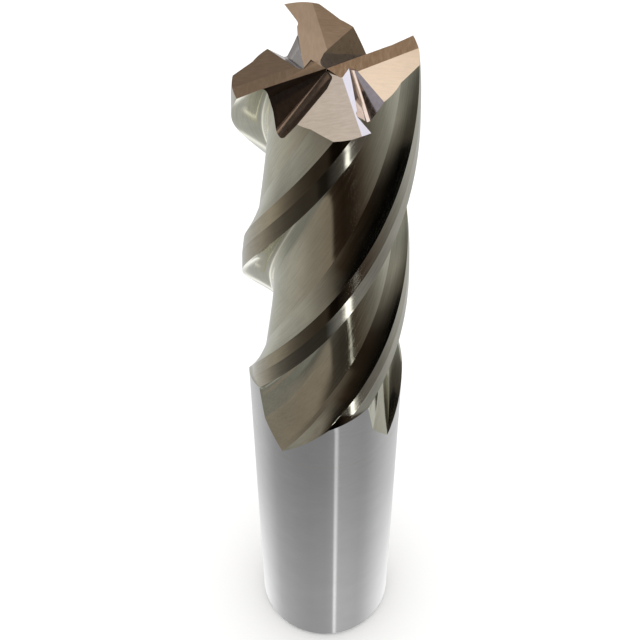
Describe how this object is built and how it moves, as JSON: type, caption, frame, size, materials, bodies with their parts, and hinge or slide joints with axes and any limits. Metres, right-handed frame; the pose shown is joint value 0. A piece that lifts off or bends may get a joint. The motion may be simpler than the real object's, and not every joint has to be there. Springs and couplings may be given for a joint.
{
  "type": "end mill",
  "caption": "Square-nosed, centre-cutting end mill with helical flutes, a ground and brazed carbide head and a plain cylindrical shank.",
  "frame": {"origin": "centre of the shank's end face, where the tool stands", "axes": "+Z along the tool's axis, from the shank towards the cutting end; +X lies 26 degrees clockwise of the first long tooth's corner, seen from the tip"},
  "size_m": [0.02, 0.02, 0.12],
  "materials": {
    "carbide_head": "ground, bronze-tinted",
    "braze": "ground flush",
    "shank_steel": "centreless ground, satin"
  },
  "bodies": {
    "root": {"cutting_head": "carbide_head", "braze_joint": "braze", "shank": "shank_steel"}
  },
  "joints": []
}
